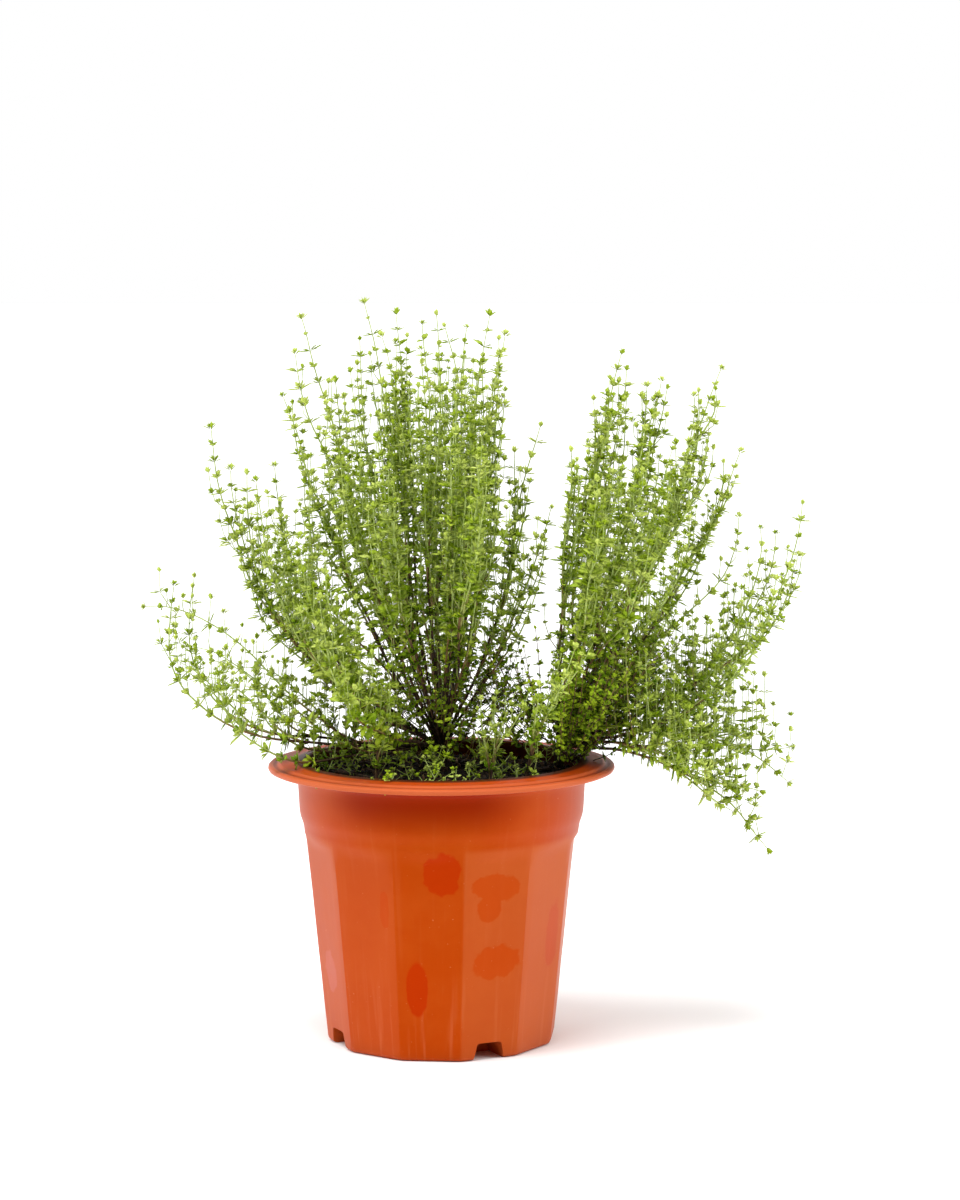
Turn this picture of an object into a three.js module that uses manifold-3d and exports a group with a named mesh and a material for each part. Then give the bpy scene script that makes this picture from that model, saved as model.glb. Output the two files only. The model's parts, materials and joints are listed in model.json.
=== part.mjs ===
// Potted thyme: two bushy plants in a faceted plastic nursery pot, in millimetres, +Z up.
// The origin is the centre of the pot's flat underside. -Y is the front.
import * as THREE from "three";
import { mergeVertices } from "three/addons/utils/BufferGeometryUtils.js";
import Module from "manifold-3d";

const wasm = await Module();
wasm.setup();

// Driving dimensions of the pot.
const WALL = 1.4;
const FACETS = 12;
const FACET_START = Math.PI / 18; // turn of the first corner from the front, towards +X
const SEGMENTS = 36;
const BODY_TOP = 106; // height where the flat facets end
const SHOULDER_TOP = 112; // height where the wall is fully round
const FLOOR_TOP = 2;

// Driving dimensions of the four drainage recesses in the foot.
const RECESSES = 4;
const RECESS_WIDTH = 17;
const RECESS_TOP_WIDTH = 14;
const RECESS_HEIGHT = 9;
const RECESS_INNER_RADIUS = 40;
const DRAIN_RADIUS = 4;
const DRAIN_CENTRE = 50;

// Driving dimensions of the soil and of the plants.
const GAP = 0.3;
const SOIL_RADIUS = 72.4;
const SOIL_EDGE = 137;
const SOIL_CROWN = 139.5;
const FORK_HEIGHT = 13; // the trunk divides this far above the soil
const ROOT_DEPTH = 8;
const TRUNK_RADIUS = 3;
const ARM_RADIUS = 1.1;
const ARM_REACH = 22; // from the fork to where a sprig starts
const RUNNER_RADIUS = 1.2;
const STEM_RADIUS = 0.9;
const SHOOT_RADIUS = 0.8;
const SHOOT_LENGTH = 52;
const LEAF = { length: 5.5, width: 3.6, thickness: 0.8, lean: 0.6 };
const STEM_STEP = 36; // one leaf pair on each straight length of stem
const SHOOT_STEP = 26;
const GOLDEN_ANGLE = 2.39996;
const UP = new THREE.Vector3(0, 0, 1);

// Where each plant's trunk stands on the soil.
const PLANTS = {
  left: [0, 8],
  right: [60, 8],
};

// How each habit of growth leaves its fork and reaches its tip. lift turns the start up (or down)
// from the straight line to the tip, rise is how upright the tip stands (over 1 leans back in), and
// the two reaches are the lengths of the curve's handles as shares of that line.
const HABITS = {
  upright: { lift: -9, rise: 0.75, startReach: 0.4, tipReach: 0.35, shoots: 2 },
  spreading: { lift: -26, rise: 0.9, startReach: 0.42, tipReach: 0.42, shoots: 3 },
  sweeping: { lift: -31, rise: 1.25, startReach: 0.6, tipReach: 0.5, shoots: 3 },
  arching: { lift: -26, rise: 1, startReach: 0.5, tipReach: 0.55, shoots: 3 },
  trailing: { lift: 22, rise: -0.55, startReach: 0.42, tipReach: 0.3, shoots: 4 },
  basal: { lift: 0, rise: 0.8, startReach: 0.35, tipReach: 0.35, shoots: 2 },
};

// The tip of every sprig, by plant and habit.
const TIPS = {
  left: {
    upright: [
      [-72, 14, 374], [-80, -18, 335], [-40, 22, 382], [-30, -8, 365], [-24, 40, 376], [-9, -24, 372],
      [-3, 58, 375], [2, 8, 370], [13, 34, 369], [25, -12, 376], [33, 20, 365], [51, 2, 319],
      [-52, 52, 331], [-57, -44, 332], [8, -60, 335], [21, -76, 318], [31, -46, 315], [-50, 88, 344],
      [-12, 92, 356], [20, 78, 348], [-31, -66, 316], [56, -20, 278],
    ],
    spreading: [
      [-118, -4, 318], [-87, 20, 297], [-93, -36, 293], [-92, 84, 268], [-69, -74, 267], [-58, -96, 239],
      [5, 118, 268],
    ],
    sweeping: [[-137, -14, 238], [-131, 26, 233]],
    arching: [[-111, -46, 205], [-97, 6, 190]],
  },
  right: {
    upright: [
      [93, 12, 356], [86, -22, 344], [115, 34, 341], [144, 6, 348], [129, -24, 319], [156, 28, 304],
      [66, -34, 308], [77, 36, 306], [102, -56, 320], [78, -66, 295], [123, 70, 303],
    ],
    spreading: [[186, -2, 279], [170, -32, 243], [128, 92, 250]],
    trailing: [[169, -8, 101], [182, 22, 131], [139, -44, 131]],
  },
};

// Young sprigs that come straight out of the soil: foot x, y, then tip.
const BASAL_SPRIGS = [
  { foot: [42, -40], tip: [67, -70, 212] },
  { foot: [24, -46], tip: [32, -62, 186] },
  { foot: [-32, -37], tip: [-43, -52, 184] },
];

// Bare woody stems that lie on the soil inside the rim, as start, middle and end.
const RUNNERS = [
  [[-63, -10], [-50, -38], [-20, -56]],
  [[-55, 6], [-44, -18], [-26, -30]],
  [[14, -60], [36, -54], [58, -34]],
];

const plastic = new THREE.MeshStandardMaterial({ color: 0xc4521a, roughness: 0.45, metalness: 0 });
const compost = new THREE.MeshStandardMaterial({ color: 0x2a1c12, roughness: 0.95, metalness: 0 });
const bark = new THREE.MeshStandardMaterial({ color: 0x5a4030, roughness: 0.85, metalness: 0 });
const greenery = new THREE.MeshStandardMaterial({ color: 0x6f9a35, roughness: 0.6, metalness: 0 });

// A closed three.js geometry as a manifold-3d solid.
function solidOf(geometry) {
  const bare = new THREE.BufferGeometry().setAttribute("position", geometry.getAttribute("position"));
  bare.setIndex(geometry.index);
  const merged = mergeVertices(bare, 1e-4);
  return new wasm.Manifold(
    new wasm.Mesh({
      numProp: 3,
      vertProperties: merged.attributes.position.array,
      triVerts: new Uint32Array(merged.index.array),
    }),
  );
}

// A manifold-3d solid as a named mesh.
function meshOf(name, solid, material) {
  const { vertProperties, triVerts } = solid.getMesh();
  const geometry = new THREE.BufferGeometry();
  geometry.setAttribute("position", new THREE.BufferAttribute(vertProperties, 3));
  geometry.setIndex(new THREE.BufferAttribute(triVerts, 1));
  geometry.computeVertexNormals();
  const mesh = new THREE.Mesh(geometry, material);
  mesh.name = name;
  return mesh;
}

// A turned solid whose wall is pressed flat into facets below the shoulder.
// The profile runs from the axis at the bottom to the axis at the top, as [radius, height].
function facetedSolid(profile) {
  const points = profile.map(([radius, height]) => new THREE.Vector2(radius, height));
  const geometry = new THREE.LatheGeometry(points, SEGMENTS);
  geometry.rotateX(Math.PI / 2);
  const position = geometry.attributes.position;
  const facetAngle = (2 * Math.PI) / FACETS;
  for (let i = 0; i < position.count; i++) {
    const x = position.getX(i);
    const y = position.getY(i);
    const z = position.getZ(i);
    const step = Math.round((Math.atan2(y, x) / (2 * Math.PI)) * SEGMENTS);
    const angle = (step / SEGMENTS) * 2 * Math.PI;
    const fromCorner = THREE.MathUtils.euclideanModulo(angle, facetAngle);
    const flat = Math.cos(facetAngle / 2) / Math.cos(fromCorner - facetAngle / 2);
    const round = THREE.MathUtils.smoothstep(z, BODY_TOP, SHOULDER_TOP);
    const radius = Math.hypot(x, y) * THREE.MathUtils.lerp(flat, 1, round);
    const turned = angle - Math.PI / 2 + FACET_START;
    position.setXY(i, radius * Math.cos(turned), radius * Math.sin(turned));
  }
  return solidOf(geometry);
}

// One solid of a shape repeated at each of the four recesses, which sit in the middle of a facet.
// The shape is modelled pointing along +X.
function atEachRecess(geometry) {
  const first = FACET_START - Math.PI / 2 + Math.PI / FACETS;
  const copies = [...Array(RECESSES).keys()].map((k) =>
    solidOf(geometry.clone().rotateZ(first + (k * 2 * Math.PI) / RECESSES)),
  );
  return copies.reduce((all, copy) => all.add(copy));
}

// The block of space that a recess takes out of the foot, grown by a margin.
function recessBlock(margin) {
  const half = RECESS_WIDTH / 2 + margin;
  const topHalf = RECESS_TOP_WIDTH / 2 + margin;
  const outline = new THREE.Shape([
    new THREE.Vector2(-half, -10),
    new THREE.Vector2(half, -10),
    new THREE.Vector2(half, 0),
    new THREE.Vector2(topHalf, RECESS_HEIGHT + margin),
    new THREE.Vector2(-topHalf, RECESS_HEIGHT + margin),
    new THREE.Vector2(-half, 0),
  ]);
  const depth = 80 - RECESS_INNER_RADIUS + margin;
  const geometry = new THREE.ExtrudeGeometry(outline, { depth, bevelEnabled: false });
  geometry.rotateX(Math.PI / 2).rotateZ(Math.PI / 2);
  geometry.translate(RECESS_INNER_RADIUS - margin, 0, 0);
  return atEachRecess(geometry);
}

// The pot's outside and its rim, and the room inside it.
const OUTSIDE = [
  [0, 0], [58.4, 0], [60.2, 2], [71, BODY_TOP], [71.6, SHOULDER_TOP], [73.2, 117], [74, 121], [74.8, 134],
  [77.5, 140], [88.6, 141.8], [90, 142.8], [89.4, 144.4], [86.4, 144.2], [84.6, 145.8], [74, 146.5],
  [0, 146.5],
];
const INSIDE = [
  [0, FLOOR_TOP], [58.4, FLOOR_TOP], [71 - WALL, BODY_TOP], [71.6 - WALL, SHOULDER_TOP],
  [73.2 - WALL, 118], [74 - WALL, 122], [73.4, 134], [71.6, 145.2], [72.2, 150], [0, 150],
];

// The thin-walled pot, with a drain hole through the roof of each recess.
function pot() {
  const walls = facetedSolid(OUTSIDE).subtract(recessBlock(0));
  const room = facetedSolid(INSIDE).subtract(recessBlock(WALL));
  const hole = new THREE.CylinderGeometry(DRAIN_RADIUS, DRAIN_RADIUS, 30, 16);
  hole.rotateX(Math.PI / 2).translate(DRAIN_CENTRE, 0, RECESS_HEIGHT);
  const drains = atEachRecess(hole).intersect(recessBlock(WALL + 1));
  return meshOf("pot", walls.subtract(room).subtract(drains), plastic);
}

// The compost fills the pot to just under its lip, with a socket for each trunk.
function soil() {
  const fill = INSIDE.filter(([, height]) => height < SOIL_EDGE).map(([radius, height]) => [
    radius === 0 ? 0 : radius - GAP,
    height + (height === FLOOR_TOP ? GAP : 0),
  ]);
  fill.push([SOIL_RADIUS, SOIL_EDGE], [0, SOIL_CROWN]);
  const sockets = Object.values(PLANTS).map(([x, y]) => {
    const socket = new THREE.CylinderGeometry(TRUNK_RADIUS + GAP, TRUNK_RADIUS + GAP, 30, 10);
    socket.rotateX(Math.PI / 2).translate(x, y, SOIL_CROWN - ROOT_DEPTH - GAP + 15);
    return solidOf(socket);
  });
  const bed = facetedSolid(fill).subtract(recessBlock(WALL + GAP));
  return meshOf("soil", sockets.reduce((left, socket) => left.subtract(socket), bed), compost);
}

// A bar of a few flat sides along a curve.
function bar(curve, radius, sides, steps) {
  const section = new THREE.Shape(
    [...Array(sides).keys()].map((k) => {
      const angle = ((k + 0.5) / sides) * 2 * Math.PI;
      return new THREE.Vector2(radius * Math.cos(angle), radius * Math.sin(angle));
    }),
  );
  const options = { steps, extrudePath: curve, bevelEnabled: false };
  return solidOf(new THREE.ExtrudeGeometry(section, options));
}

// The height of the compost's surface, which falls evenly from the pot's axis to its edge.
function soilHeight(x, y) {
  return THREE.MathUtils.mapLinear(Math.hypot(x, y), 0, SOIL_RADIUS, SOIL_CROWN, SOIL_EDGE);
}

// The direction from a fork towards a tip, turned up or down by the habit's lift.
function liftedDirection(from, tip, lift) {
  const line = tip.clone().sub(from);
  const level = new THREE.Vector3(line.x, line.y, 0);
  const elevation = Math.atan2(line.z, level.length()) + THREE.MathUtils.degToRad(lift);
  return level.normalize().multiplyScalar(Math.cos(elevation)).setZ(Math.sin(elevation));
}

// The route of a sprig from its base to its tip: it leaves along start and ends along its rise.
function routeOf(base, start, tip, habit) {
  const line = tip.clone().sub(base);
  const length = line.length();
  const out = line.clone().setZ(0).normalize();
  const share = 1 - Math.abs(habit.rise);
  const end = UP.clone().multiplyScalar(habit.rise).addScaledVector(out, share).normalize();
  return new THREE.CubicBezierCurve3(
    base,
    base.clone().addScaledVector(start, length * habit.startReach),
    tip.clone().addScaledVector(end, -length * habit.tipReach),
    tip,
  );
}

// Every sprig: its name, route and habit, with the fork that it grows from.
const sprigs = [];
for (const [plant, byHabit] of Object.entries(TIPS)) {
  const [x, y] = PLANTS[plant];
  const fork = new THREE.Vector3(x, y, SOIL_CROWN + FORK_HEIGHT);
  for (const [kind, tips] of Object.entries(byHabit)) {
    tips.forEach((at, k) => {
      const habit = HABITS[kind];
      const tip = new THREE.Vector3(...at);
      const start = liftedDirection(fork, tip, habit.lift);
      const base = fork.clone().addScaledVector(start, ARM_REACH + GAP);
      const name = `${plant}_${kind}_sprig_${String(k + 1).padStart(2, "0")}`;
      sprigs.push({ name, plant, fork, start, habit, route: routeOf(base, start, tip, habit) });
    });
  }
}
BASAL_SPRIGS.forEach(({ foot, tip: at }, k) => {
  const base = new THREE.Vector3(...foot, soilHeight(...foot) + GAP + 0.1);
  const name = `basal_sprig_${String(k + 1).padStart(2, "0")}`;
  const route = routeOf(base, UP, new THREE.Vector3(...at), HABITS.basal);
  sprigs.push({ name, habit: HABITS.basal, route });
});

// Spheres along what has grown so far, so that later growth keeps clear of it.
const grown = [];
function samplesOf(curve, radius, owner) {
  const count = Math.ceil(curve.getLength() / 1.5);
  return curve.getSpacedPoints(count).map((centre) => ({ centre, radius, owner }));
}
function hasRoom(samples) {
  return samples.every(({ centre, radius, owner }) =>
    grown.every(
      (other) =>
        other.owner === owner || other.centre.distanceTo(centre) > other.radius + radius + GAP,
    ),
  );
}
sprigs.forEach((sprig) => grown.push(...samplesOf(sprig.route, STEM_RADIUS, sprig.name)));

// A direction square to a stem, turned round it by an angle.
function sideways(tangent, angle) {
  const side = new THREE.Vector3().crossVectors(tangent, UP);
  if (side.length() < 0.05) side.set(1, 0, 0);
  return side.normalize().applyAxisAngle(tangent, angle);
}

// The straight lengths that make up a stem along a curve.
function lengthsOf(curve, steps) {
  const joints = curve.getSpacedPoints(steps);
  return joints.slice(1).map((end, k) => new THREE.LineCurve3(joints[k], end));
}

// A leaf as a thin three-sided spike whose foot is buried in the stem and whose tip leans forward.
function leaf(foot, out, tangent) {
  const long = out.clone().addScaledVector(tangent, LEAF.lean);
  const flat = new THREE.Vector3().crossVectors(tangent, out);
  const geometry = new THREE.ConeGeometry(1, 1, 3).translate(0, 0.5, 0);
  geometry.scale(LEAF.width / Math.sqrt(3), LEAF.length, LEAF.thickness / 1.5);
  geometry.applyMatrix4(new THREE.Matrix4().makeBasis(tangent, long, flat).setPosition(foot));
  return { solid: solidOf(geometry), reach: foot.clone().addScaledVector(long, LEAF.length) };
}

// Opposite leaves on each straight length of a stem, each pair a quarter turn from the last,
// wherever there is room. The first lengths stay bare.
function leavesAlong(curve, steps, owner, bareSteps) {
  const frames = curve.computeFrenetFrames(steps, false);
  const leaves = [];
  lengthsOf(curve, steps).forEach((line, k) => {
    if (k < bareSteps) return;
    const sides = k % 2 === 0 ? frames.normals : frames.binormals;
    const out = sides[k].clone().add(sides[k + 1]).normalize();
    const foot = line.getPoint(0.5);
    const pair = [out, out.clone().negate()].map((side) => leaf(foot, side, line.getTangent(0.5)));
    const span = new THREE.LineCurve3(pair[0].reach, pair[1].reach);
    const samples = samplesOf(span, LEAF.width / 2, owner);
    if (!hasRoom(samples)) return;
    grown.push(...samples);
    leaves.push(...pair.map(({ solid }) => solid));
  });
  return leaves;
}

// A side shoot that leaves a straight length of stem sideways and turns up.
function sideShoot(line, angle, length, owner) {
  const from = line.getPoint(0.3);
  const side = sideways(line.getTangent(0.3), angle);
  const low = side.clone().addScaledVector(UP, 0.5).normalize();
  const middle = from.clone().addScaledVector(low, length * 0.4);
  const tip = middle.clone().addScaledVector(UP, length * 0.62).addScaledVector(side, length * 0.08);
  const curve = new THREE.QuadraticBezierCurve3(from, middle, tip);
  const samples = samplesOf(curve, SHOOT_RADIUS, owner);
  if (!hasRoom(samples)) return null;
  grown.push(...samples);
  return curve;
}

// A sprig: its main stem and leaves, then its side shoots spread round it by the golden angle.
function sprigMesh({ name, route, habit }, index) {
  const steps = Math.ceil(route.getLength() / STEM_STEP);
  const lengths = lengthsOf(route, steps);
  const pieces = [bar(route, STEM_RADIUS, 4, steps), ...leavesAlong(route, steps, name, 2)];
  for (let k = 0; k < habit.shoots; k++) {
    const share = 0.3 + (0.5 * (k + 0.5)) / habit.shoots;
    const line = lengths[Math.floor(share * steps)];
    const shoot = sideShoot(line, index + k * GOLDEN_ANGLE, SHOOT_LENGTH * (1.15 - share), name);
    if (!shoot) continue;
    const shootSteps = Math.ceil(shoot.getLength() / SHOOT_STEP);
    pieces.push(bar(shoot, SHOOT_RADIUS, 4, shootSteps), ...leavesAlong(shoot, shootSteps, name, 1));
  }
  return meshOf(name, pieces.reduce((all, piece) => all.add(piece)), greenery);
}

// A trunk with one arm to the base of each of its plant's sprigs.
function trunk(plant) {
  const mine = sprigs.filter((sprig) => sprig.plant === plant);
  const fork = mine[0].fork;
  const foot = fork.clone().setZ(SOIL_CROWN - ROOT_DEPTH);
  const post = bar(new THREE.LineCurve3(foot, fork.clone().addScaledVector(UP, 3)), TRUNK_RADIUS, 6, 1);
  const arms = mine.map(({ start }) =>
    bar(new THREE.LineCurve3(fork, fork.clone().addScaledVector(start, ARM_REACH)), ARM_RADIUS, 3, 1),
  );
  return meshOf(`${plant}_woody_crown`, arms.reduce((all, arm) => all.add(arm), post), bark);
}

// A bare stem that lies on the compost.
function runner(points, k) {
  const [start, middle, end] = points.map(
    ([x, y]) => new THREE.Vector3(x, y, soilHeight(x, y) + RUNNER_RADIUS + GAP + 0.1),
  );
  const curve = new THREE.QuadraticBezierCurve3(start, middle, end);
  return meshOf(`lying_stem_${k + 1}`, bar(curve, RUNNER_RADIUS, 5, 5), bark);
}

const pottedThyme = new THREE.Group();
pottedThyme.add(pot(), soil());
Object.keys(PLANTS).forEach((plant) => pottedThyme.add(trunk(plant)));
RUNNERS.forEach((points, k) => pottedThyme.add(runner(points, k)));
sprigs.forEach((sprig, k) => pottedThyme.add(sprigMesh(sprig, k)));

export default pottedThyme;
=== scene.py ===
# Potted thyme: two bushy plants in a faceted plastic nursery pot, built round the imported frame.
import json
import math
import random

import bmesh
import bpy
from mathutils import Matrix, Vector, noise

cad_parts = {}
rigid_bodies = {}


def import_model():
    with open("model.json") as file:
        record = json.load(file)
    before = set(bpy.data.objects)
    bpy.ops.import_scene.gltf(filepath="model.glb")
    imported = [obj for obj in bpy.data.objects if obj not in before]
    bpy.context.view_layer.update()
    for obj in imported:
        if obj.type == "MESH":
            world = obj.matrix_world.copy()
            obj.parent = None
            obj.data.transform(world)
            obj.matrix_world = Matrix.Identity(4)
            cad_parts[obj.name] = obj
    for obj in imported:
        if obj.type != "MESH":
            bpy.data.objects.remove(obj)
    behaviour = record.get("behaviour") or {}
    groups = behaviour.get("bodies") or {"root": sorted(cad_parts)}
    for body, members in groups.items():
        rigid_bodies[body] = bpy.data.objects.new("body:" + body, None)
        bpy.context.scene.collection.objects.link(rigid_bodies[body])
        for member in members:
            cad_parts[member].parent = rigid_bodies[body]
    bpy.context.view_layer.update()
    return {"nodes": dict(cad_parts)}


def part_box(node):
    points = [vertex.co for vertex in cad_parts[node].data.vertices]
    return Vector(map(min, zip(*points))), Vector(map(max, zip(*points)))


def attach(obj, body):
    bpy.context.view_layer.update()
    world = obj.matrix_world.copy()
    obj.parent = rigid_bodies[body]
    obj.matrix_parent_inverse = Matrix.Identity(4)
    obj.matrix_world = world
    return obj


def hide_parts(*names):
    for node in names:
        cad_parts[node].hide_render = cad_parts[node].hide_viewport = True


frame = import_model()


# The studio. A pale floor lies in a white room that is darker behind the camera. A broad soft light
# stands at each side, and a high window lights the plants from above. The camera stands 1.7 m in
# front of the pot and looks down a little on its rim.
scene = bpy.context.scene
scene.view_settings.view_transform = "Standard"
WHITE = (1, 1, 1, 1)


def link_object(name, data):
    """A new object in the scene, for a mesh, a lamp or a camera."""
    made = bpy.data.objects.new(name, data)
    scene.collection.objects.link(made)
    return made


def add_node(tree, kind, inputs=None, **settings):
    """A node with its settings, and its inputs wired to another node's output or set to a value."""
    made = tree.nodes.new(kind)
    for name, value in settings.items():
        setattr(made, name, value)
    for key, value in (inputs or {}).items():
        if isinstance(value, bpy.types.NodeSocket):
            tree.links.new(value, made.inputs[key])
        else:
            made.inputs[key].default_value = value
    return made


camera_data = bpy.data.cameras.new("camera")
camera_data.sensor_width = 36
camera_data.lens = 97.9
camera_data.clip_start = 0.05
camera_data.clip_end = 60
camera = link_object("camera", camera_data)
camera.location = (0.020, -1.679, 0.403)
camera.rotation_euler = (math.radians(90 - 5.9), 0, 0)
scene.camera = camera

room = bpy.data.worlds.new("white_room")
room.use_nodes = True
scene.world = room
walls = room.node_tree
walls.nodes.clear()
look = add_node(walls, "ShaderNodeTexCoord").outputs["Generated"]
axes = add_node(walls, "ShaderNodeSeparateXYZ", {0: look}).outputs
toward_back = add_node(
    walls, "ShaderNodeMath", {0: axes["Z"], 1: 0.5, 2: axes["Y"]}, operation="MULTIPLY_ADD"
).outputs[0]
fall_off = {"Value": toward_back, "From Min": -0.75, "From Max": 0.1, "To Min": 0.06, "To Max": 1.0}
brightness = add_node(walls, "ShaderNodeMapRange", fall_off).outputs["Result"]
lighting = add_node(walls, "ShaderNodeBackground", {"Color": WHITE, "Strength": brightness})
backdrop = add_node(walls, "ShaderNodeBackground", {"Color": WHITE, "Strength": 1.0})
seen = add_node(walls, "ShaderNodeLightPath").outputs["Is Camera Ray"]
mixed = add_node(walls, "ShaderNodeMixShader", {0: seen, 1: lighting.outputs[0], 2: backdrop.outputs[0]})
add_node(walls, "ShaderNodeOutputWorld", {"Surface": mixed.outputs[0]})


def soft_light(name, place, aim, size, power):
    """A square soft box that faces a point."""
    data = bpy.data.lights.new(name, "AREA")
    data.size = size
    data.energy = power
    lamp = link_object(name, data)
    lamp.location = place
    lamp.rotation_euler = (Vector(aim) - Vector(place)).to_track_quat("-Z", "Y").to_euler()


soft_light("soft_light_left", (-1.35, -0.75, 1.5), (0, 0, 0.2), 0.9, 12)
soft_light("soft_light_right", (1.55, -0.5, 1.0), (0, 0, 0.15), 0.9, 11)

sun_data = bpy.data.lights.new("high_window", "SUN")
sun_data.energy = 2.3
sun_data.angle = math.radians(30)
sun = link_object("high_window", sun_data)
sun.rotation_euler = (math.radians(14), math.radians(-10), 0)

FLOOR_HALF = 30
floor_paint = bpy.data.materials.new("floor_paint")
floor_paint.use_nodes = True
paint = floor_paint.node_tree.nodes["Principled BSDF"].inputs
paint["Base Color"].default_value = (0.93, 0.93, 0.93, 1)
paint["Roughness"].default_value = 0.9
floor_mesh = bpy.data.meshes.new("floor")
floor_corners = [(FLOOR_HALF * x, FLOOR_HALF * y, 0) for x, y in ((-1, -1), (1, -1), (1, 1), (-1, 1))]
floor_mesh.from_pydata(floor_corners, [], [(0, 1, 2, 3)])
floor_mesh.materials.append(floor_paint)
floor = link_object("floor", floor_mesh)


# The pot. One thin shell of terracotta-orange polypropylene, injection moulded: twelve flat facets on
# the tapering body, a round collar, a flanged rim with a bead and a ridge, and four recesses in the
# foot, each with a drain hole in its roof. Water has left darker wet marks and a chalky film, strongest
# low on the wall. Painted light lies in the colour too: a paler sheen on the side facets, a shadow
# under the rim, highlights on the bead and ridge, and shade in the groove and inside the rim.
MM = 0.001
POT_HEIGHT = 146.5
POT_OUTSIDE = [
    (0, 0), (30, 0), (50, 0), (57.2, 0), (58.8, 0.35), (59.7, 1.2), (60.2, 2.4), (60.9, 9), (62.1, 20),
    (63.6, 35), (65.2, 50), (66.7, 65), (68.2, 80), (69.7, 94), (70.6, 102), (71, 106), (71.3, 109),
    (71.6, 112), (72.1, 114.4), (72.8, 116.4), (73.4, 118.2), (73.8, 120.4), (74, 123), (74.3, 129),
    (74.6, 134), (75.1, 137), (76.2, 139.3), (78.2, 140.4), (82, 141), (86.4, 141.5), (88.6, 141.5),
    (89.6, 141.9), (90, 142.8), (89.8, 143.8), (89.1, 144.5), (88, 144.7), (87.1, 144.3), (86.3, 144.1),
    (85.5, 144.4), (84.8, 145.2), (84, 145.7), (83, 145.7), (81.6, 145.4), (78, 145.8), (75, 146.3),
    (73.2, 146.5), (60, 146.5), (0, 146.5),
]
POT_INSIDE = [
    (0, 2), (40, 2), (57, 2), (58.4, 2.6), (59, 4), (60.7, 20), (63.8, 50), (66.8, 80), (69.2, 102),
    (69.6, 106), (70, 110), (70.4, 113.4), (71.4, 116.8), (72.1, 119), (72.5, 122), (72.9, 128), (73.1, 134),
    (72.9, 139), (72.2, 143), (71.7, 145.2), (71.9, 146.2), (72.6, 147), (72.6, 150), (0, 150),
]
POT_SEGMENTS = 144
FACETS = 12
FIRST_CORNER = math.radians(10)
PANEL_TOP = (104.5, 109.5)  # the flat facets turn round between these heights
WALL = 1.4
RECESS_TURNS = [FIRST_CORNER + math.pi / FACETS + k * math.pi / 2 for k in range(4)]
RECESS_HALF_WIDTH, RECESS_ROOF_HALF_WIDTH, RECESS_HEIGHT, RECESS_CORNER = 8.5, 7.0, 9.0, 1.6
RECESS_START = 40  # how far from the pot's axis a recess begins
DRAIN_RADIUS, DRAIN_FROM_AXIS, DRAIN_LOW, DRAIN_TOP, DRAIN_SIDES = 4, 50, 6, 11.5, 24
pot_low, pot_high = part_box("pot")
pot_scale = (pot_high.z - pot_low.z) / POT_HEIGHT


def facet_share(turn):
    """How far the wall stands out at a turn from the front, as a share of the corner's radius."""
    half = math.pi / FACETS
    across = (turn - FIRST_CORNER) % (2 * half) - half
    flat = math.cos(half) / math.cos(across)
    corner, softness = 0.9965, 0.004
    mix = max(0.0, min(1.0, 0.5 + 0.5 * (corner - flat) / softness))
    return corner + (flat - corner) * mix - softness * mix * (1 - mix)


def smooth_step(low, high, value):
    """0 below low and 1 above high, with an even ease between them."""
    t = max(0.0, min(1.0, (value - low) / (high - low)))
    return t * t * (3 - 2 * t)


def finished_solid(name, shape):
    """An object with outward faces from a mesh that is being built."""
    bmesh.ops.recalc_face_normals(shape, faces=shape.faces)
    mesh = bpy.data.meshes.new(name)
    shape.to_mesh(mesh)
    shape.free()
    return link_object(name, mesh)


def skin_rings(shape, rings):
    """The faces between rings of points one above another, where a ring of one point is a pole."""
    for lower, upper in zip(rings, rings[1:]):
        count = max(len(lower), len(upper))
        for k in range(count):
            n = (k + 1) % count
            if len(lower) == 1:
                shape.faces.new((lower[0], upper[n], upper[k]))
            elif len(upper) == 1:
                shape.faces.new((lower[k], lower[n], upper[0]))
            else:
                shape.faces.new((lower[k], lower[n], upper[n], upper[k]))


def add_bar(shape, ends):
    """A closed bar between two outlines with the same number of points."""
    skin_rings(shape, ends)
    for end in ends:
        shape.faces.new(end)


def turned_solid(name, profile):
    """A closed turned solid about the pot's axis, pressed into facets under the collar."""
    shape = bmesh.new()
    rings = []
    for radius, height in profile:
        if radius == 0:
            rings.append([shape.verts.new((0, 0, height * pot_scale))])
            continue
        roundness = smooth_step(*PANEL_TOP, height)
        ring = []
        for k in range(POT_SEGMENTS):
            turn = 2 * math.pi * k / POT_SEGMENTS
            share = facet_share(turn)
            reach = radius * (share + (1 - share) * roundness) * pot_scale
            spot = (reach * math.sin(turn), -reach * math.cos(turn), height * pot_scale)
            ring.append(shape.verts.new(spot))
        rings.append(ring)
    skin_rings(shape, rings)
    return finished_solid(name, shape)


def recess_tool(name, grow):
    """The four blocks of space at the foot, each with a rounded, slightly narrowing section."""
    half, roof_half, height = RECESS_HALF_WIDTH + grow, RECESS_ROOF_HALF_WIDTH + grow, RECESS_HEIGHT + grow
    bend = RECESS_CORNER + grow
    side = [(half, -10), (half, 0)]
    for angle in (math.pi / 2 * k / 4 for k in range(5)):
        side.append((roof_half - bend * (1 - math.cos(angle)), height - bend * (1 - math.sin(angle))))
    section = side + [(-x, z) for x, z in reversed(side)]
    shape = bmesh.new()
    for turn in RECESS_TURNS:
        out = Vector((math.sin(turn), -math.cos(turn), 0))
        along = Vector((math.cos(turn), math.sin(turn), 0))
        ends = []
        for reach in (RECESS_START - grow, 80):
            spots = [(out * reach + along * x + Vector((0, 0, z))) * pot_scale for x, z in section]
            ends.append([shape.verts.new(spot) for spot in spots])
        add_bar(shape, ends)
    return finished_solid(name, shape)


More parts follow.
